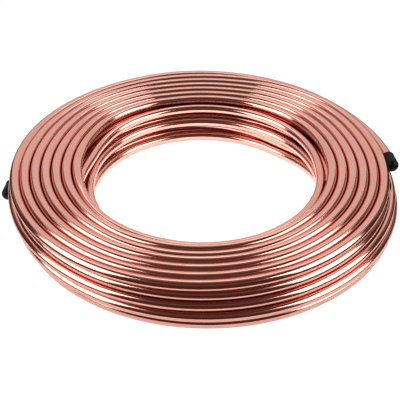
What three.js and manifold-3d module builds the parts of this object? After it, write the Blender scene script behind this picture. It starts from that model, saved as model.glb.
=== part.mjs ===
// A coil of soft copper tube: five layers of close turns wound in the flat, with both
// free ends outside and a plastic cap pushed on each. Millimetres, +Z up, the coil lies
// flat with its axis along Z and its lowest turns on Z = 0. The origin is in the middle
// of the footprint, which the two caps make a little wider on one side.
import * as THREE from "three";
import { mergeVertices } from "three/addons/utils/BufferGeometryUtils.js";
import Module from "manifold-3d";

// ---- driving dimensions ----
const tubeDiameter = 9.52;      // outside diameter of the tube
const tubeWall = 0.8;           // wall thickness of the tube
const turnPitch = 9.65;         // from one turn to the next across the top layer
const layerRise = 9.2;          // from one layer up to the next
const layerCount = 5;
const turnsAcross = 7;          // turns side by side in one layer
const innerTurnRadius = 112.9;  // centre line of the innermost turns
const flankStep = 3.2;          // each layer down ends this much further out
const middleOverhang = 9;       // until it's this far outside the top layer
const bottomOverhang = 7;       // the bottom layer ends this far outside the top one
const boreDepth = 16;           // how far the open bore is modelled into each free end

const capWall = 1.1;            // plastic wall of the end caps
const capGrip = 17;             // length of tube inside a cap
const capCrown = 5;             // solid rounded end beyond the tube
const capLip = 0.5;             // rounded edge at the mouth of a cap
const seatGap = 0.3;            // clearance between a cap and the tube
const straightTip = 19;         // straight length at the tip of each free end

const ringSteps = 44;           // facets round the coil
const turnFacets = 5;           // facets on each exposed half turn
const endSides = 10;            // facets round a free end
const capSides = 20;            // facets round a cap

const cutClear = 1;             // a cutting solid runs this far past the face it cuts
const tubeRadius = tubeDiameter / 2;
const flatHeight = tubeRadius * Math.cos(Math.PI / (2 * turnFacets));

const wasm = await Module();
wasm.setup();

const copper = new THREE.MeshStandardMaterial({ color: 0xd99a86, roughness: 0.35, metalness: 1 });
const plastic = new THREE.MeshStandardMaterial({ color: 0x0b0b0d, roughness: 0.25, metalness: 0 });

// ---- solids ----
function toManifold(geometry) {
  const bare = geometry.clone();
  bare.deleteAttribute("normal");
  bare.deleteAttribute("uv");
  const merged = mergeVertices(bare, 1e-4);
  return new wasm.Manifold(new wasm.Mesh({
    numProp: 3,
    vertProperties: new Float32Array(merged.attributes.position.array),
    triVerts: new Uint32Array(merged.index.array),
  }));
}

function toGeometry(solid) {
  const mesh = solid.getMesh();
  const geometry = new THREE.BufferGeometry();
  geometry.setAttribute("position", new THREE.BufferAttribute(mesh.vertProperties, 3));
  geometry.setIndex(new THREE.BufferAttribute(mesh.triVerts, 1));
  geometry.computeVertexNormals();
  return geometry;
}

// Where a free end lies against its turn, thin pockets may close between the two.
// They are inside-out shells of their own, and are filled by leaving them out.
function withoutPockets(solid) {
  const shells = solid.decompose().filter((shell) => shell.volume() > 0);
  return shells.reduce((whole, shell) => whole.add(shell));
}

// A lathe profile is given as [radius, height] points and turned about Z.
function turned(profile, sides) {
  const points = profile.map(([radius, height]) => new THREE.Vector2(radius, height));
  const geometry = new THREE.LatheGeometry(points, sides);
  return geometry.rotateX(Math.PI / 2);
}

// A round bar of the given radius along a curve, flat at both ends.
function swept(curve, radius, steps) {
  const section = new THREE.Shape();
  for (let side = 0; side <= endSides; side += 1) {
    const angle = (side + 0.5) * 2 * Math.PI / endSides;
    const x = radius * Math.cos(angle);
    const y = radius * Math.sin(angle);
    if (side === 0) section.moveTo(x, y);
    else if (side < endSides) section.lineTo(x, y);
  }
  section.closePath();
  return new THREE.ExtrudeGeometry(section, { steps, extrudePath: curve, curveSegments: 1 });
}

// ---- the wound turns ----
// Layer 0 lies on the floor. All the layers start at the same radius, and the lower
// ones are wound a little wider and end further out than the top one.
function turnCentre(layer, turn) {
  const fromTop = layerCount - 1 - layer;
  const reach = Math.min(fromTop * flankStep, layer === 0 ? bottomOverhang : middleOverhang);
  const step = turnPitch + reach / (turnsAcross - 1);
  return {
    radius: innerTurnRadius + turn * step,
    height: flatHeight + layer * layerRise,
  };
}

// The turns that show, walked anticlockwise round the section of the coil.
function outlineTurns() {
  const bottom = [];
  const outer = [];
  const top = [];
  const inner = [];
  const last = turnsAcross - 1;
  for (let turn = 0; turn <= last; turn += 1) {
    bottom.push({ ...turnCentre(0, turn), facing: -Math.PI / 2 });
    top.unshift({ ...turnCentre(layerCount - 1, turn), facing: Math.PI / 2 });
  }
  for (let layer = 1; layer < layerCount - 1; layer += 1) {
    outer.push({ ...turnCentre(layer, last), facing: 0 });
    inner.unshift({ ...turnCentre(layer, 0), facing: Math.PI });
  }
  return [...bottom, ...outer, ...top, ...inner];
}

// Each turn shows the arc from the point where it meets one neighbour to the point
// where it meets the other, which opens the next turn's arc. All arcs are cut at the
// same angles, so that every crown on the top and the underside is a narrow flat.
function coilProfile() {
  const turns = outlineTurns();
  const facet = Math.PI / turnFacets;
  const leastFacet = facet / 4;
  const points = [];
  turns.forEach((turn, index) => {
    const before = turns[(index + turns.length - 1) % turns.length];
    const after = turns[(index + 1) % turns.length];
    let start = Math.atan2(before.height - turn.height, before.radius - turn.radius);
    let end = Math.atan2(after.height - turn.height, after.radius - turn.radius);
    while (start > turn.facing) start -= 2 * Math.PI;
    while (start < turn.facing - 2 * Math.PI) start += 2 * Math.PI;
    while (end < turn.facing) end += 2 * Math.PI;
    const crown = turn.facing - facet / 2;
    const stepsBack = Math.floor((crown - start - leastFacet) / facet);
    const angles = [start];
    for (let angle = crown - stepsBack * facet; angle < end - leastFacet; angle += facet) {
      angles.push(angle);
    }
    for (const angle of angles) {
      points.push([
        turn.radius + tubeRadius * Math.cos(angle),
        turn.height + tubeRadius * Math.sin(angle),
      ]);
    }
  });
  points.push(points[0]);
  return points;
}

// ---- the free ends ----
// A free end leaves the outer turn of its layer and swings out a little as it goes
// round, about the coil's axis. A negative sweep is clockwise seen from above.
class Swing extends THREE.Curve {
  constructor({ startAngle, sweep, startRadius, endRadius, startHeight, endHeight }) {
    super();
    Object.assign(this, { startAngle, sweep, startRadius, endRadius, startHeight, endHeight });
  }

  getPoint(t, target = new THREE.Vector3()) {
    const ease = t * t * (3 - 2 * t);
    const angle = this.startAngle + this.sweep * t;
    const radius = this.startRadius + (this.endRadius - this.startRadius) * ease;
    const height = this.startHeight + (this.endHeight - this.startHeight) * ease;
    return target.set(radius * Math.cos(angle), radius * Math.sin(angle), height);
  }
}

// The swing runs out in a short straight tip, which holds the cap.
function freeEnd(dimensions) {
  const swing = new Swing(dimensions);
  const path = new THREE.CurvePath();
  const end = swing.getPoint(1);
  const along = swing.getTangent(1);
  path.add(swing);
  path.add(new THREE.LineCurve3(end, end.clone().addScaledVector(along, straightTip)));
  return path;
}

const degrees = Math.PI / 180;
const topOuter = turnCentre(layerCount - 1, turnsAcross - 1);
const bottomOuter = turnCentre(0, turnsAcross - 1);
const capRadius = tubeRadius + seatGap + capWall;
const besideTurn = tubeRadius + capRadius + seatGap;

// The finish cap rests beside the top layer's outer turn, on the outer turn below it.
const finishRadius = topOuter.radius + besideTurn;
const ledge = turnCentre(layerCount - 2, turnsAcross - 1);
const ledgeReach = finishRadius - ledge.radius;
const finishHeight = ledge.height + Math.sqrt(besideTurn ** 2 - ledgeReach ** 2);

const finishEnd = freeEnd({
  startAngle: 265 * degrees,
  sweep: -260 * degrees,
  startRadius: topOuter.radius,
  endRadius: finishRadius,
  startHeight: topOuter.height,
  endHeight: finishHeight,
});

const startEnd = freeEnd({
  startAngle: 70 * degrees,
  sweep: 104.6 * degrees,
  startRadius: bottomOuter.radius,
  endRadius: bottomOuter.radius + besideTurn,
  startHeight: tubeRadius,
  endHeight: capRadius,
});

// A straight line in the tip of a free end, measured back from its cut.
function tipLine(path, length, beyond) {
  const cut = path.getPoint(1);
  const along = path.getTangent(1);
  const from = cut.clone().addScaledVector(along, -length);
  return new THREE.LineCurve3(from, cut.addScaledVector(along, beyond));
}

function coilSolid() {
  let solid = toManifold(turned(coilProfile(), ringSteps));
  for (const [path, steps] of [[finishEnd, 44], [startEnd, 20]]) {
    solid = solid.add(toManifold(swept(path, tubeRadius, steps)));
  }
  solid = withoutPockets(solid);
  for (const path of [finishEnd, startEnd]) {
    const bore = swept(tipLine(path, boreDepth, cutClear), tubeRadius - tubeWall, 1);
    solid = solid.subtract(toManifold(bore));
  }
  return solid;
}

// ---- the end caps ----
// A thin cup, domed at its closed end, turned about Z with its mouth at Z = 0.
function capGeometry() {
  const inside = tubeRadius + seatGap;
  const outside = inside + capWall;
  const floor = capGrip + seatGap;
  const dome = floor + capCrown;
  const profile = [[0, floor], [inside, floor], [inside, capLip], [inside + capLip, 0]];
  profile.push([outside - capLip, 0], [outside, capLip]);
  const round = 5;
  const shoulder = dome - outside * 0.8;
  for (let step = 0; step <= round; step += 1) {
    const angle = step / round * Math.PI / 2;
    profile.push([outside * Math.cos(angle), shoulder + (dome - shoulder) * Math.sin(angle)]);
  }
  profile[profile.length - 1][0] = 0;
  return turned(profile, capSides);
}

function capMesh(name, path) {
  const mesh = new THREE.Mesh(capGeometry(), plastic);
  mesh.name = name;
  const tip = path.getPoint(1);
  const along = path.getTangent(1);
  mesh.quaternion.setFromUnitVectors(new THREE.Vector3(0, 0, 1), along);
  mesh.position.copy(tip).addScaledVector(along, -capGrip);
  return mesh;
}

const coil = new THREE.Mesh(toGeometry(coilSolid()), copper);
coil.name = "copper_tube";

const group = new THREE.Group();
group.add(coil, capMesh("finish_cap", finishEnd), capMesh("start_cap", startEnd));

// The start cap stands out further than the finish cap on the other side, so the coil's
// axis is set over by half the difference.
const startReach = bottomOuter.radius + besideTurn + capRadius;
const finishReach = finishRadius + capRadius;
const axisOffset = (startReach - finishReach) / 2;
for (const mesh of group.children) mesh.position.x += axisOffset;

export default group;
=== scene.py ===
import math

import bpy
from mathutils import Matrix, Vector


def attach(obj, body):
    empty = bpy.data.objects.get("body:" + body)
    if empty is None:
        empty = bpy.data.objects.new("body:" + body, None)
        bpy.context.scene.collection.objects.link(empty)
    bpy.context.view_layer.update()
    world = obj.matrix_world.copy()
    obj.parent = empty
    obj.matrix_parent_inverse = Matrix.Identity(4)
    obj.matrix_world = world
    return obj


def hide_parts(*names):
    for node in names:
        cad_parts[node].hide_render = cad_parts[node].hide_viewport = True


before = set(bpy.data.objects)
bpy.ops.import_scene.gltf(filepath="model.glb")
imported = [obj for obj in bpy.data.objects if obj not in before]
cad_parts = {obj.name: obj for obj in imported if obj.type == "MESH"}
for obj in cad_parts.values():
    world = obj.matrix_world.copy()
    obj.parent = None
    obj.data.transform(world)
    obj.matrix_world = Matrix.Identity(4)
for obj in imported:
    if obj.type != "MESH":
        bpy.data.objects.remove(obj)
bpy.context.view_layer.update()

bl_info = {
    "name": "Copper tube coil",
    "version": (1, 0, 0),
    "blender": (4, 5, 0),
    "location": "View3D > Sidebar > Coil",
    "description": "Winds a coil of soft copper tube, caps its two ends and sets it on a stage",
    "category": "Object",
}

# ---- how the coil is wound ----
# The coil is wound clockwise seen from above. A place along a layer is counted in turns: 0
# is at the left of the coil, a quarter at the back and a half at the right. A layer is a
# flat spiral: its radius is the one at turn 0, and grows by its step with each turn. Swing
# and lift carry an end outwards and up, and fade to nothing over that end's ease, in turns.
# The shifts move the outermost and innermost turns sideways, and mix on those between. The
# links lead the hidden ends of a layer on. Lengths are in metres.
LAYERS = {
    "top_layer": {
        "first_turn": -0.07, "last_turn": 7.5018,
        "radius": 0.108659, "turn_step": 0.00965, "height": 0.041816,
        "start_swing": 0.013, "start_ease": 0.11,
        "end_swing": 0.0006, "end_ease": 0.1,
        "outer_shift": (-0.0003, 0.0, 0.0), "inner_shift": (0.0, -0.0008, 0.0),
        "sag": 0.00965, "bulge": 0.0026, "draw": 0.00965,
    },
    "second_layer": {
        "first_turn": 0.25, "last_turn": 6.53,
        "radius": 0.181228, "turn_step": -0.009942, "height": 0.032456,
        "start_swing": -0.0067, "start_lift": -0.0046, "start_ease": 0.45,
        "end_swing": 0.005, "end_ease": 0.1,
        "outer_shift": (-0.00117, -0.00055, 0.0), "inner_shift": (-0.0004, -0.0007, 0.0),
    },
    "third_layer": {
        "first_turn": -0.06, "last_turn": 7.05,
        "radius": 0.110534, "turn_step": 0.01024, "height": 0.02319,
        "start_swing": -0.005, "start_lift": -0.0022, "start_ease": 0.26,
        "end_lift": 0.0046, "end_ease": 0.14,
        "outer_shift": (0.00247, 0.00271, 0.0), "inner_shift": (-0.00167, -0.00652, -0.001),
    },
    "third_layer_link": {
        "first_turn": 7.05, "last_turn": 7.25,
        "radius": 0.484, "turn_step": -0.043, "height": 0.0278,
    },
    "fourth_layer": {
        "first_turn": 0.25, "last_turn": 7.5,
        "radius": 0.185272, "turn_step": -0.009412, "height": 0.014024,
        "start_swing": -0.0105, "start_lift": -0.006, "start_ease": 0.15,
        "end_swing": 0.00956, "end_lift": 0.0045, "end_ease": 0.14,
        "outer_shift": (0.00178, -0.00133, 0.0), "inner_shift": (-0.00453, -0.0018, 0.0),
    },
    "fourth_layer_link": {
        "first_turn": 7.5, "last_turn": 7.94,
        "radius": 0.33225, "turn_step": -0.02818, "height": 0.0185,
        "end_lift": 0.0015, "end_ease": 0.44,
    },
    "bottom_layer_link": {
        "first_turn": 7.52, "last_turn": 7.62,
        "radius": -0.634, "turn_step": 0.1, "height": 0.012,
    },
    "bottom_layer": {
        "first_turn": -0.001, "last_turn": 7.52,
        "radius": 0.182774, "turn_step": -0.010145, "height": 0.00504,
        "start_swing": 0.0092, "start_lift": 0.0014, "start_ease": 0.115,
        "end_swing": 0.00903, "end_lift": 0.0072, "end_ease": 0.16,
        "outer_shift": (0.0029, -0.0019, 0.0), "inner_shift": (0.00224, -0.00275, 0.0),
    },
}

# What holds for a layer that says nothing else.
PLAIN_LAYER = {
    "start_swing": 0.0, "start_lift": 0.0, "start_ease": 0.1,
    "end_swing": 0.0, "end_lift": 0.0, "end_ease": 0.1,
    "outer_shift": (0.0, 0.0, 0.0), "inner_shift": (0.0, 0.0, 0.0),
    "sag": 0.0, "bulge": 0.0, "draw": 0.0,
}

# How far the top layer's turns drop where no turn lies close under them, by turn, as a
# share of the layer's sag, and how far its last turn does.
SAG = (
    (-0.07, 0.98), (0.05, 0.88), (0.1, 0.68), (0.17, 0.56), (0.25, 0.57), (0.36, 0.6),
    (0.46, 0.74), (0.55, 0.96), (0.7, 0.97), (0.8, 0.85), (0.88, 0.72), (0.925, 0.5),
    (0.97, 0.12), (1.02, 0.0), (1.45, 0.0), (1.62, 0.25), (1.75, 0.33), (1.88, 0.22),
    (2.0, 0.0), (2.5, 0.0), (2.62, 0.2), (2.75, 0.28), (2.88, 0.18), (3.0, 0.0), (4.0, 0.0),
)
LAST_SAG = (
    (6.9, 0.0), (7.1, 0.01), (7.25, 0.1), (7.35, 0.35), (7.41, 0.5), (7.46, 0.42), (7.502, 0.26),
)

# How far the last turn is drawn in, by turn, as a share of the layer's draw.
LAST_DRAW = (
    (6.9, 0.0), (7.06, 0.17), (7.14, 0.25), (7.19, 0.2), (7.23, 0.05), (7.3, 0.08), (7.36, 0.0),
    (7.42, 0.1), (7.46, 0.1), (7.502, 0.0),
)

# Each turn of the top layer stands out a little at two places as it goes round the back,
# some turns further than others: where in a turn, and how far from turn to turn, both as
# shares that are multiplied.
BULGE_PLACES = (
    (0.0, 0.0), (0.03, 0.05), (0.08, 0.5), (0.14, 1.0), (0.19, 0.75), (0.25, 0.05), (0.3, 0.45),
    (0.36, 1.0), (0.41, 0.75), (0.46, 0.15), (0.5, 0.0), (1.0, 0.0),
)
BULGE_TURNS = (
    (0.9, 0.0), (1.1, 1.15), (1.3, 0.6), (2.1, 1.3), (2.35, 1.0), (3.1, 1.0), (3.35, 1.15),
    (4.1, 1.0), (4.35, 1.05), (5.1, 0.75), (5.35, 1.3), (5.9, 0.6), (6.05, 0.0), (6.25, 0.1),
    (6.37, 1.05), (6.6, 0.0),
)

# All the turns stray a little from their true line. How far is read from smooth noise, on a
# circle of this radius, and higher up in it for each turn and each metre of height.
STRAY_CIRCLE = 2.0
STRAY_PER_TURN = 1.7
STRAY_PER_METRE = 400.0
STRAY_GAIN = 4.0
NOISE_MIDDLE = (0.5, 0.5, 0.5)


# ---- sizes and colours ----
class CoilSizes(bpy.types.PropertyGroup):
    """Sizes that the whole coil shares."""

    tube_diameter: bpy.props.FloatProperty(
        name="Tube diameter", description="Outside diameter of the copper tube",
        default=0.00952, min=0.001, unit="LENGTH")
    axis_offset: bpy.props.FloatProperty(
        name="Axis offset", description="How far the coil's axis stands from the origin, along X",
        default=0.0035, unit="LENGTH")
    inner_radius: bpy.props.FloatProperty(
        name="Inner radius", description="Where a turn takes the whole of its layer's inner shift",
        default=0.113, unit="LENGTH")
    outer_radius: bpy.props.FloatProperty(
        name="Outer radius", description="Where a turn takes the whole of its layer's outer shift",
        default=0.178, unit="LENGTH")
    steps: bpy.props.IntProperty(
        name="Steps", description="Facets round one turn of the coil", default=160, min=24)
    sides: bpy.props.IntProperty(
        name="Sides", description="Facets round the tube", default=24, min=8)
    waver: bpy.props.FloatProperty(
        name="Waver", description="About how far the turns stray from their true line",
        default=0.00012, min=0.0, unit="LENGTH")


class CapSizes(bpy.types.PropertyGroup):
    """Sizes of the plastic end caps."""

    radius: bpy.props.FloatProperty(
        name="Radius", description="Outside radius of a cap", default=0.00616, unit="LENGTH")
    wall: bpy.props.FloatProperty(
        name="Wall", description="Thickness of the plastic", default=0.0011, unit="LENGTH")
    grip: bpy.props.FloatProperty(
        name="Grip", description="Length of tube inside a cap", default=0.0152, unit="LENGTH")
    crown: bpy.props.FloatProperty(
        name="Crown", description="Solid rounded end beyond the tube",
        default=0.0053, unit="LENGTH")
    sides: bpy.props.IntProperty(
        name="Sides", description="Facets round a cap", default=64, min=12)


class Finishes(bpy.types.PropertyGroup):
    """Colours of the coil and its stage."""

    copper: bpy.props.FloatVectorProperty(
        name="Copper", description="Clean drawn copper", subtype="COLOR", size=3,
        default=(0.92, 0.635, 0.585), min=0.0, max=1.0)
    tarnish: bpy.props.FloatVectorProperty(
        name="Tarnish", description="Copper that has begun to dull", subtype="COLOR", size=3,
        default=(0.84, 0.575, 0.495), min=0.0, max=1.0)
    # Painted shade: the deep red that the grooves between turns are darkened to.
    groove_shade: bpy.props.FloatVectorProperty(
        name="Groove", description="Redder copper in the grooves between turns",
        subtype="COLOR", size=3, default=(0.66, 0.07, 0.045), min=0.0, max=1.0)
    plastic: bpy.props.FloatVectorProperty(
        name="Plastic", description="Moulded cap plastic", subtype="COLOR", size=3,
        default=(0.003, 0.003, 0.0035), min=0.0, max=1.0)
    floor: bpy.props.FloatVectorProperty(
        name="Floor", description="Plain studio floor", subtype="COLOR", size=3,
        default=(0.9, 0.9, 0.9), min=0.0, max=1.0)
    glow: bpy.props.FloatProperty(
        name="Floor glow", description="Light that the floor itself gives, like a light table",
        default=0.6, min=0.0)


# ---- node trees ----
class NodeBench:
    """Adds nodes to a tree from left to right and joins them up."""

    column_width = 180
    row_height = 160
    rows = 4

    def __init__(self, tree):
        self.tree = tree
        self.count = 0

    def add(self, kind, values=None, **settings):
        node = self.tree.nodes.new(kind)
        node.location = (self.count * self.column_width,
                         -(self.count % self.rows) * self.row_height)
        self.count += 1
        for name, value in settings.items():
            setattr(node, name, value)
        for key, value in (values or {}).items():
            self.feed(node.inputs[key], value)
        return node

    def feed(self, socket, value):
        if isinstance(value, bpy.types.NodeSocket):
            self.tree.links.new(value, socket)
        else:
            socket.default_value = value

    def math(self, operation, *values):
        node = self.add("ShaderNodeMath", dict(enumerate(values)), operation=operation)
        return node.outputs[0]

    def vector(self, operation, *values):
        node = self.add("ShaderNodeVectorMath", dict(enumerate(values)), operation=operation)
        return node.outputs["Vector"]

    def point(self, x, y, z=0.0):
        return self.add("ShaderNodeCombineXYZ", {"X": x, "Y": y, "Z": z}).outputs[0]

    def scaled(self, value, given=(0.0, 1.0), wanted=(0.0, 1.0), **settings):
        """The value moved from a given range to the wanted one, and held inside it."""
        node = self.add("ShaderNodeMapRange", {
            "Value": value, "From Min": given[0], "From Max": given[1],
            "To Min": wanted[0], "To Max": wanted[1]}, **settings)
        return node.outputs["Result"]

    def mixed(self, kind, share, start, end):
        """From start to end by the share, as colours (RGBA) or places (VECTOR)."""
        node = self.add("ShaderNodeMix", {"Factor": share}, data_type=kind)
        from_socket, to_socket = [s for s in node.inputs if s.type == kind][-2:]
        self.feed(from_socket, start)
        self.feed(to_socket, end)
        return next(s for s in node.outputs if s.type == kind)

    def store(self, geometry, name, kind, value):
        """Keeps a value on the points of a piece, as an attribute for its finish."""
        node = self.add("GeometryNodeStoreNamedAttribute", data_type=kind, domain="POINT")
        for key, given in (("Geometry", geometry), ("Name", name), ("Value", value)):
            self.feed(node.inputs[key], given)
        return node.outputs["Geometry"]


def fade(bench, place, length):
    """1 where place is 0, falling smoothly to 0 where it reaches length."""
    return bench.scaled(place, (0.0, length), (1.0, 0.0), interpolation_type="SMOOTHSTEP")


def curve_of(bench, value, points):
    """A share looked up on a smooth curve through the points, level beyond its two ends."""
    first, last = points[0][0], points[-1][0]
    most = max(share for _, share in points)
    node = bench.add("ShaderNodeFloatCurve")
    curve = node.mapping.curves[0]
    placed = [((place - first) / (last - first), share / most) for place, share in points]
    curve.points[0].location = placed[0]
    curve.points[1].location = placed[-1]
    for x, y in placed[1:-1]:
        curve.points.new(x, y)
    node.mapping.update()
    bench.feed(node.inputs["Value"], bench.scaled(value, (first, last)))
    return bench.math("MULTIPLY", node.outputs["Value"], most)


LAYER_SOCKETS = {
    "NodeSocketFloat": (
        "First Turn", "Last Turn", "Radius", "Turn Step", "Height",
        "Start Swing", "Start Lift", "Start Ease", "End Swing", "End Lift", "End Ease",
        "Sag", "Bulge", "Draw",
        "Tube Radius", "Axis Offset", "Inner Radius", "Outer Radius", "Waver"),
    "NodeSocketVector": ("Outer Shift", "Inner Shift"),
    "NodeSocketInt": ("Steps", "Sides"),
    "NodeSocketMaterial": ("Material",),
}


def centre_line(bench, given):
    """The steps that a layer is drawn in, and the place of each along its spiral."""
    calc = bench.math
    length = calc("SUBTRACT", given["Last Turn"], given["First Turn"])
    segments = calc("CEIL", calc("MULTIPLY", length, given["Steps"]))
    index = bench.add("GeometryNodeInputIndex").outputs[0]
    gone = calc("MULTIPLY", calc("DIVIDE", index, segments), length)
    left = calc("SUBTRACT", length, gone)
    turn = calc("ADD", given["First Turn"], gone)
    bearing = calc("SUBTRACT", math.pi, calc("MULTIPLY", turn, math.tau))
    start = fade(bench, gone, given["Start Ease"])
    end = fade(bench, left, given["End Ease"])

    drop = calc("ADD", curve_of(bench, turn, SAG), curve_of(bench, turn, LAST_SAG))
    out = calc("MULTIPLY", curve_of(bench, calc("FRACT", turn), BULGE_PLACES),
               curve_of(bench, turn, BULGE_TURNS))
    inwards = curve_of(bench, turn, LAST_DRAW)

    spiral = calc("MULTIPLY_ADD", turn, given["Turn Step"], given["Radius"])
    spiral = calc("MULTIPLY_ADD", start, given["Start Swing"], spiral)
    spiral = calc("MULTIPLY_ADD", end, given["End Swing"], spiral)
    spiral = calc("MULTIPLY_ADD", out, given["Bulge"], spiral)
    radius = calc("SUBTRACT", spiral, calc("MULTIPLY", inwards, given["Draw"]))
    height = calc("MULTIPLY_ADD", start, given["Start Lift"], given["Height"])
    height = calc("MULTIPLY_ADD", end, given["End Lift"], height)
    height = calc("SUBTRACT", height, calc("MULTIPLY", drop, given["Sag"]))

    outwards = bench.scaled(radius, (given["Inner Radius"], given["Outer Radius"]))
    shift = bench.mixed("VECTOR", outwards, given["Inner Shift"], given["Outer Shift"])
    cosine = calc("COSINE", bearing)
    sine = calc("SINE", bearing)
    place = bench.point(calc("MULTIPLY_ADD", radius, cosine, given["Axis Offset"]),
                        calc("MULTIPLY", radius, sine), height)
    place = bench.vector("ADD", place, shift)

    in_noise = bench.point(
        calc("MULTIPLY", cosine, STRAY_CIRCLE), calc("MULTIPLY", sine, STRAY_CIRCLE),
        calc("MULTIPLY_ADD", turn, STRAY_PER_TURN,
             calc("MULTIPLY", given["Height"], STRAY_PER_METRE)))
    noise = bench.add("ShaderNodeTexNoise", {"Vector": in_noise, "Scale": 1.0, "Detail": 1.0})
    astray = bench.vector("SUBTRACT", noise.outputs["Color"], NOISE_MIDDLE)
    reach = calc("MULTIPLY", given["Waver"], STRAY_GAIN)
    astray = bench.vector("MULTIPLY", astray, bench.point(reach, reach))
    return segments, bench.vector("ADD", place, astray)


def layer_tree():
    """One layer of turns: a tube swept along a flat spiral whose ends ease in and out."""
    if "Wound layer" in bpy.data.node_groups:
        return bpy.data.node_groups["Wound layer"]
    tree = bpy.data.node_groups.new("Wound layer", "GeometryNodeTree")
    tree.is_modifier = True
    for kind, names in LAYER_SOCKETS.items():
        for name in names:
            tree.interface.new_socket(name, in_out="INPUT", socket_type=kind)
    tree.interface.new_socket("Geometry", in_out="OUTPUT", socket_type="NodeSocketGeometry")
    bench = NodeBench(tree)
    given = bench.add("NodeGroupInput").outputs

    segments, place = centre_line(bench, given)
    line = bench.add("GeometryNodeMeshLine", {"Count": bench.math("ADD", segments, 1.0)})
    placed = bench.add("GeometryNodeSetPosition", {
        "Geometry": line.outputs["Mesh"], "Position": place})
    path = bench.add("GeometryNodeMeshToCurve", {"Mesh": placed.outputs[0]})
    upright = bench.add("GeometryNodeSetCurveNormal", {"Curve": path.outputs[0]}, mode="Z_UP")
    along = bench.add("GeometryNodeSplineParameter")
    path = bench.store(upright.outputs[0], "along", "FLOAT", along.outputs["Length"])
    ring = bench.add("GeometryNodeCurvePrimitiveCircle", {
        "Resolution": given["Sides"], "Radius": given["Tube Radius"]})
    where = bench.add("GeometryNodeInputPosition")
    ring = bench.store(ring.outputs["Curve"], "section", "FLOAT_VECTOR", where.outputs[0])
    tube = bench.add("GeometryNodeCurveToMesh", {
        "Curve": path, "Profile Curve": ring, "Fill Caps": True})
    smooth = bench.add("GeometryNodeSetShadeSmooth", {"Geometry": tube.outputs[0]})
    real = bench.add("GeometryNodeRealizeInstances", {"Geometry": smooth.outputs[0]})
    finished = bench.add("GeometryNodeSetMaterial", {
        "Geometry": real.outputs[0], "Material": given["Material"]})
    bench.add("NodeGroupOutput", {"Geometry": finished.outputs[0]})
    return tree


def plain_mesh(name, tree, values):
    """The result of a tree as a plain mesh object at the origin."""
    holder = bpy.data.objects.new(name + "_holder", bpy.data.meshes.new(name + "_holder"))
    bpy.context.scene.collection.objects.link(holder)
    modifier = holder.modifiers.new("Build", "NODES")
    modifier.node_group = tree
    for item in tree.interface.items_tree:
        if item.item_type == "SOCKET" and item.in_out == "INPUT":
            modifier[item.identifier] = values[item.name]
    evaluated = holder.evaluated_get(bpy.context.evaluated_depsgraph_get())
    mesh = bpy.data.meshes.new_from_object(evaluated)
    mesh.name = name
    piece = bpy.data.objects.new(name, mesh)
    bpy.context.scene.collection.objects.link(piece)
    bpy.data.objects.remove(holder)
    if not mesh.polygons:
        raise RuntimeError(name + " came out empty")
    return piece


# ---- finishes ----
def new_material(name):
    material = bpy.data.materials.new(name)
    material.use_nodes = True
    material.node_tree.nodes.clear()
    return material, NodeBench(material.node_tree)


def noise_on(bench, place, scale, **settings):
    """A procedural pattern of this scale: its grey value at each place."""
    values = {"Vector": place, "Scale": scale}
    values.update({name.title(): value for name, value in settings.items()})
    return bench.add("ShaderNodeTexNoise", values).outputs["Fac"]


def finish_off(bench, shader, output="BSDF"):
    bench.add("ShaderNodeOutputMaterial", {"Surface": shader.outputs[output]})


def copper_finish():
    """Soft drawn copper: fine lines along the tube, a little dulling, and painted shade that turns
    the grooves deep red.
    """
    if "soft_copper" in bpy.data.materials:
        return bpy.data.materials["soft_copper"]
    colours = bpy.context.scene.coil_finishes
    material, bench = new_material("soft_copper")

    # The lines run along the tube, so their noise is fine across its section and long
    # drawn out along it. Both scales are per metre.
    across_scale, along_scale = 2600.0, 9.0
    section = bench.add("ShaderNodeAttribute", attribute_name="section")
    along = bench.add("ShaderNodeAttribute", attribute_name="along")
    across = bench.add("ShaderNodeSeparateXYZ", {0: section.outputs["Vector"]})
    drawn = bench.point(bench.math("MULTIPLY", across.outputs["X"], across_scale),
                        bench.math("MULTIPLY", across.outputs["Y"], across_scale),
                        bench.math("MULTIPLY", along.outputs["Fac"], along_scale))
    lines = noise_on(bench, drawn, 1.0, detail=3.0)

    place = bench.add("ShaderNodeTexCoord").outputs["Object"]
    clouds = noise_on(bench, place, 28.0, detail=4.0, roughness=0.6)
    half = 0.5
    dulled = bench.math("MULTIPLY_ADD", lines, half, bench.math("MULTIPLY", clouds, half))
    amount = bench.scaled(dulled, (0.35, 0.65))
    colour = bench.mixed("RGBA", amount, (*colours.copper, 1.0), (*colours.tarnish, 1.0))

    # A place is shut in where much of what it faces lies nearer than this distance.
    shut_in = bench.add("ShaderNodeAmbientOcclusion", {"Distance": 0.007}, samples=6)
    openness = bench.scaled(shut_in.outputs["AO"], (0.1, 0.6))
    # Painted shade: shut-in places are darkened to deep red, in the grooves between turns.
    groove_shaded = bench.mixed("RGBA", openness, (*colours.groove_shade, 1.0), colour)

    bump = bench.add("ShaderNodeBump", {"Height": lines, "Strength": 0.08, "Distance": 0.0002})
    shader = bench.add("ShaderNodeBsdfPrincipled", {
        "Base Color": groove_shaded,
        "Roughness": bench.scaled(amount, wanted=(0.11, 0.19)),
        "Metallic": 1.0,
        "Normal": bump.outputs["Normal"],
    })
    finish_off(bench, shader)
    return material


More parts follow.
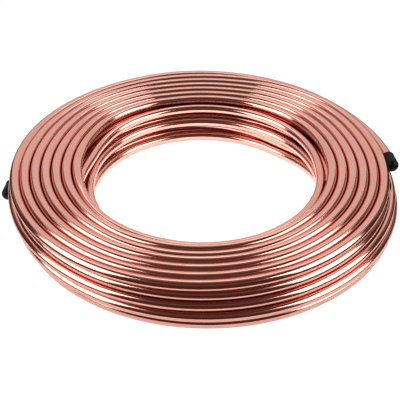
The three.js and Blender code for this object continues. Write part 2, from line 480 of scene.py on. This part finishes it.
def plastic_finish():
    """Glossy black moulded plastic with the faintest orange peel."""
    if "cap_plastic" in bpy.data.materials:
        return bpy.data.materials["cap_plastic"]
    colours = bpy.context.scene.coil_finishes
    material, bench = new_material("cap_plastic")
    place = bench.add("ShaderNodeTexCoord").outputs["Object"]
    peel = noise_on(bench, place, 900.0, detail=1.0)
    wear = noise_on(bench, place, 120.0, detail=3.0)
    bump = bench.add("ShaderNodeBump", {"Height": peel, "Strength": 0.15, "Distance": 0.0001})
    shader = bench.add("ShaderNodeBsdfPrincipled", {
        "Base Color": (*colours.plastic, 1.0),
        "Roughness": bench.scaled(wear, (0.3, 0.7), (0.05, 0.1)),
        "Normal": bump.outputs["Normal"],
    })
    finish_off(bench, shader)
    return material


def floor_finish():
    """White studio floor, slightly uneven in tone, lit from within, most in the coil's bore."""
    colours = bpy.context.scene.coil_finishes
    material, bench = new_material("studio_floor")
    place = bench.add("ShaderNodeTexCoord").outputs["Object"]
    tone = bench.scaled(noise_on(bench, place, 3.0), wanted=(0.985, 1.0))
    colour = bench.add("ShaderNodeVectorMath", {0: tuple(colours.floor), "Scale": tone},
                       operation="SCALE")
    out = bench.add("ShaderNodeVectorMath", {0: place}, operation="LENGTH")
    glow = bench.scaled(out.outputs["Value"], (0.1, 0.19), (1.35, 0.62))
    shader = bench.add("ShaderNodeBsdfPrincipled", {
        "Base Color": colour.outputs[0], "Roughness": 0.7,
        "Emission Color": (1.0, 1.0, 1.0, 1.0),
        "Emission Strength": bench.math("MULTIPLY", glow, colours.glow),
    })
    finish_off(bench, shader)
    return material


def backdrop_finish():
    """Plain white sheet, bright enough to show no shade."""
    material, bench = new_material("white_backdrop")
    shader = bench.add("ShaderNodeEmission", {"Strength": 1.05})
    finish_off(bench, shader, "Emission")
    return material


# ---- pieces ----
def layer_values(name):
    """What the tree of a layer needs, by the names of its sockets."""
    sizes = bpy.context.scene.coil_sizes
    shape = {**PLAIN_LAYER, **LAYERS[name]}
    return {
        **{key.replace("_", " ").title(): value for key, value in shape.items()},
        "Tube Radius": sizes.tube_diameter / 2,
        "Axis Offset": sizes.axis_offset,
        "Inner Radius": sizes.inner_radius,
        "Outer Radius": sizes.outer_radius,
        "Waver": sizes.waver,
        "Steps": sizes.steps,
        "Sides": sizes.sides,
        "Material": copper_finish(),
    }


class COIL_OT_wind_layers(bpy.types.Operator):
    """Wind the five layers of turns and the links between them"""

    bl_idname = "coil.wind_layers"
    bl_label = "Wind layers"

    def execute(self, context):
        tree = layer_tree()
        for name in LAYERS:
            piece = plain_mesh(name, tree, layer_values(name))
            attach(piece, "root")
            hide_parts("copper_tube")
        return {"FINISHED"}


def end_of_tube(name, backwards):
    """Where a layer's tube ends, and the way that it runs out there."""
    mesh = bpy.data.objects[name].data
    sides = bpy.context.scene.coil_sizes.sides
    rings = len(mesh.vertices) // sides
    grip = bpy.context.scene.cap_sizes.grip

    def centre(ring):
        points = [mesh.vertices[ring * sides + side].co for side in range(sides)]
        return sum(points, Vector()) / sides

    order = range(rings) if backwards else range(rings - 1, -1, -1)
    tip = centre(order[0])
    for ring in order:
        back = centre(ring)
        if (back - tip).length >= grip:
            break
    return tip, (tip - back).normalized()


# The name of each cap, the layer whose tube it closes, and whether that is where the layer
# begins.
CAPS = (
    ("finish_cap_moulding", "top_layer", False),
    ("start_cap_moulding", "bottom_layer", True),
)

# The corners of a cap's wall, in order from the floor inside it over the mouth to the
# outside. Each is given from the wall that it is on, outwards, and along the axis from the
# floor or from the mouth, in metres.
FLOOR_CORNER = ((-0.0006, -0.0001), (0.0, -0.0009))
LIP_INSIDE = ((0.0, 0.0022), (0.0001, 0.0005), (0.0002, 0.0002), (0.0005, 0.0))
LIP_OUTSIDE = (
    (-0.0002, 0.0), (0.0001, 0.0002), (0.0002, 0.0007), (0.0001, 0.0013), (0.0, 0.0017),
)
TIP_CLEARANCE = 0.0003      # between the end of the tube and the floor of a cap
FLAT_FLOOR = 0.55           # where the level middle of the floor ends, as a share of its radius
DOME_HEIGHT = 0.8           # of the dome, as a share of the cap's radius
DOME_STEPS = 14
DOME_INSET = 0.0001         # the mould draws in towards the dome, by half of this at its waist
WAIST = 0.6                 # where the waist is, as a share of the way to the dome


def cap_profile(sizes):
    """Radius and height of the cap's wall, from the floor inside, over the mouth, to the dome."""
    inside = sizes.radius - sizes.wall
    floor = sizes.grip + TIP_CLEARANCE
    top = sizes.grip + sizes.crown
    shoulder = top - sizes.radius * DOME_HEIGHT
    points = [(0.0, floor), (inside * FLAT_FLOOR, floor)]
    points += [(inside + out, floor + up) for out, up in FLOOR_CORNER]
    points += [(inside + out, height) for out, height in LIP_INSIDE]
    points += [(sizes.radius + out, height) for out, height in LIP_OUTSIDE]
    points.append((sizes.radius - DOME_INSET / 2, shoulder * WAIST))
    for step in range(DOME_STEPS):
        angle = step / DOME_STEPS * math.pi / 2
        radius = (sizes.radius - DOME_INSET) * math.cos(angle)
        points.append((radius, shoulder + (top - shoulder) * math.sin(angle)))
    points.append((0.0, top))
    return points


def turned_mesh(name, profile, sides):
    """A closed mesh turned about Z from a profile that starts and ends on the axis."""
    vertices = []
    faces = []
    rings = []
    for radius, height in profile:
        if radius == 0.0:
            rings.append([len(vertices)])
            vertices.append((0.0, 0.0, height))
            continue
        rings.append([len(vertices) + side for side in range(sides)])
        for side in range(sides):
            angle = math.tau * side / sides
            vertices.append((radius * math.cos(angle), radius * math.sin(angle), height))
    for before, after in zip(rings, rings[1:]):
        for side in range(sides):
            following = (side + 1) % sides
            if len(before) == 1:
                faces.append((before[0], after[side], after[following]))
            elif len(after) == 1:
                faces.append((before[side], after[0], before[following]))
            else:
                faces.append((before[side], after[side], after[following], before[following]))
    mesh = bpy.data.meshes.new(name)
    mesh.from_pydata(vertices, [], [tuple(reversed(face)) for face in faces])
    mesh.validate()
    mesh.shade_smooth()
    return mesh


class COIL_OT_push_on_caps(bpy.types.Operator):
    """Push a plastic cap on each free end"""

    bl_idname = "coil.push_on_caps"
    bl_label = "Push on caps"

    def execute(self, context):
        sizes = context.scene.cap_sizes
        for name, layer, backwards in CAPS:
            tip, along = end_of_tube(layer, backwards)
            mesh = turned_mesh(name, cap_profile(sizes), sizes.sides)
            turn = along.to_track_quat("Z", "Y").to_matrix().to_4x4()
            mesh.transform(Matrix.Translation(tip - along * sizes.grip) @ turn)
            mesh.materials.append(plastic_finish())
            piece = bpy.data.objects.new(name, mesh)
            context.scene.collection.objects.link(piece)
            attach(piece, "root")
            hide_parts(name.replace("_moulding", ""))
        return {"FINISHED"}


# ---- stage ----
# The floor is a patch that reaches a little beyond the coil, and the backdrop lies just
# under it and far beyond: half its width, half its depth, how far it is set forward and its
# level, in metres.
SHEETS = {
    "floor": (0.25, 0.224, 0.014, 0.0),
    "backdrop": (2.5, 2.5, 0.0, -0.0005),
}
SHEET_SIDES = 64

# Softboxes stand round the coil and face it: bearing and elevation in degrees, distance,
# width and height in metres, power in watts.
LIGHTS = {
    "back_softbox": (90, 32, 1.2, 2.3, 1.35, 6.9),
    "back_top_softbox": (90, 66, 1.25, 1.2, 0.5, 1.5),
    "left_softbox": (172, 45, 1.25, 0.5, 0.45, 0.5),
    "right_softbox": (5, 45, 1.25, 0.5, 0.5, 0.55),
    "left_back_softbox": (150, 28, 1.3, 0.45, 1.1, 0.25),
    "right_back_softbox": (27, 28, 1.3, 0.45, 1.1, 0.25),
    "front_left_softbox": (-158, 29, 1.3, 1.05, 1.25, 7.4),
    "front_right_softbox": (-21, 26, 1.3, 1.05, 1.15, 7.2),
    "front_softbox": (-90, 42, 1.3, 1.7, 0.6, 0.28),
    "overhead_softbox": (0, 90, 1.2, 0.9, 0.5, 0.24),
}

# What the room gives besides: a faint warm light from all round.
ROOM_TINT = (1.0, 0.42, 0.3, 1.0)
ROOM_STRENGTH = 0.16
VIEW_GAMMA = 0.7

CAMERA_PLACE = (0.001782, -0.64066, 0.47036)
CAMERA_TILT = 53.515        # degrees up from looking straight down
CAMERA_LENS = 72.67         # focal length and sensor width, in millimetres
CAMERA_SENSOR = 36.0


def stage_sheet(name, finish):
    """A flat round sheet that lies level, facing up."""
    wide, deep, forward, level = SHEETS[name]
    rim = []
    for side in range(SHEET_SIDES):
        turn = math.tau * side / SHEET_SIDES
        rim.append((wide * math.cos(turn), deep * math.sin(turn) - forward, level))
    mesh = bpy.data.meshes.new(name)
    mesh.from_pydata(rim, [], [tuple(range(SHEET_SIDES))])
    mesh.materials.append(finish)
    sheet = bpy.data.objects.new(name, mesh)
    bpy.context.scene.collection.objects.link(sheet)
    return sheet


def soft_light(name, bearing, elevation, distance, width, height, power):
    """A rectangular lamp that faces the coil."""
    data = bpy.data.lights.new(name, "AREA")
    data.shape = "RECTANGLE"
    data.size = width
    data.size_y = height
    data.energy = power
    lamp = bpy.data.objects.new(name, data)
    turn, tilt = math.radians(bearing), math.radians(elevation)
    level = math.cos(tilt)
    away = Vector((level * math.cos(turn), level * math.sin(turn), math.sin(tilt)))
    lamp.location = away * distance
    lamp.rotation_euler = away.to_track_quat("Z", "Y").to_euler()
    bpy.context.scene.collection.objects.link(lamp)


class COIL_OT_set_stage(bpy.types.Operator):
    """Lay the floor, hang the lights and place the camera"""

    bl_idname = "coil.set_stage"
    bl_label = "Set stage"

    def execute(self, context):
        scene = context.scene
        # The floor lights the coil, and what is seen round the coil is the plain sheet.
        floor = stage_sheet("floor", floor_finish())
        floor.visible_camera = False
        backdrop = stage_sheet("backdrop", backdrop_finish())
        for kind in ("diffuse", "glossy", "transmission", "shadow"):
            setattr(backdrop, "visible_" + kind, False)

        for name, values in LIGHTS.items():
            soft_light(name, *values)

        world = bpy.data.worlds.new("studio")
        world.use_nodes = True
        room = world.node_tree.nodes["Background"].inputs
        room["Color"].default_value = ROOM_TINT
        room["Strength"].default_value = ROOM_STRENGTH
        scene.world = world
        scene.view_settings.view_transform = "Standard"
        scene.view_settings.gamma = VIEW_GAMMA

        data = bpy.data.cameras.new("camera")
        data.lens = CAMERA_LENS
        data.sensor_width = CAMERA_SENSOR
        camera = bpy.data.objects.new("camera", data)
        camera.location = CAMERA_PLACE
        camera.rotation_euler = (math.radians(CAMERA_TILT), 0.0, 0.0)
        scene.collection.objects.link(camera)
        scene.camera = camera
        return {"FINISHED"}


class COIL_PT_panel(bpy.types.Panel):
    """Sizes and colours of the coil, and its steps in order"""

    bl_idname = "COIL_PT_panel"
    bl_label = "Copper tube coil"
    bl_space_type = "VIEW_3D"
    bl_region_type = "UI"
    bl_category = "Coil"

    def draw(self, context):
        scene = context.scene
        for settings in (scene.coil_sizes, scene.cap_sizes, scene.coil_finishes):
            box = self.layout.box()
            for name in settings.__annotations__:
                box.prop(settings, name)
        for operator in OPERATORS:
            self.layout.operator(operator.bl_idname)


OPERATORS = (COIL_OT_wind_layers, COIL_OT_push_on_caps, COIL_OT_set_stage)
CLASSES = (CoilSizes, CapSizes, Finishes, *OPERATORS, COIL_PT_panel)


def register():
    for kind in CLASSES:
        bpy.utils.register_class(kind)
    bpy.types.Scene.coil_sizes = bpy.props.PointerProperty(type=CoilSizes)
    bpy.types.Scene.cap_sizes = bpy.props.PointerProperty(type=CapSizes)
    bpy.types.Scene.coil_finishes = bpy.props.PointerProperty(type=Finishes)


def unregister():
    del bpy.types.Scene.coil_finishes
    del bpy.types.Scene.cap_sizes
    del bpy.types.Scene.coil_sizes
    for kind in reversed(CLASSES):
        bpy.utils.unregister_class(kind)


def main():
    register()
    bpy.ops.coil.wind_layers()
    bpy.ops.coil.push_on_caps()
    bpy.ops.coil.set_stage()


if __name__ == "__main__":
    main()
